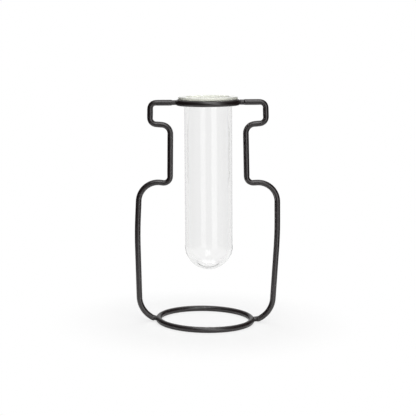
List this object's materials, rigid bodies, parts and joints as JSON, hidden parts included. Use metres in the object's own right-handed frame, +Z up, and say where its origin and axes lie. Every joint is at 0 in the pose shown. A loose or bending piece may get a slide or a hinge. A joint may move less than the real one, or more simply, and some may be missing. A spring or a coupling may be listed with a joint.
{
  "type": "test tube vase",
  "caption": "Glass test tube hung by its flared lip in a bent wire frame that draws a bottle outline and stands on a ring; the tube lifts out.",
  "frame": {"origin": "midway between the two feet of the side wires, on the surface that the base ring stands on", "axes": "+Z up, +X to the right as in the picture, across the bottle outline, +Y to the back, across the wires' plane"},
  "size_m": [0.1062, 0.0726, 0.1663],
  "materials": {
    "powder_coat": "satin powder coat, charcoal black",
    "glass": "clear, fire-polished lip"
  },
  "bodies": {
    "frame": {"top_ring": "powder_coat", "base_ring": "powder_coat", "left_side_wire": "powder_coat", "right_side_wire": "powder_coat", "weld_top_left": "powder_coat", "weld_top_right": "powder_coat", "weld_base_left": "powder_coat", "weld_base_right": "powder_coat"},
    "tube": {"test_tube": "glass"}
  },
  "joints": [
    {"name": "tube_lift", "type": "slide", "parent": "frame", "child": "tube", "axis": [-0.0253, 0, 0.9997], "range_m": [0, 0.13]}
  ]
}
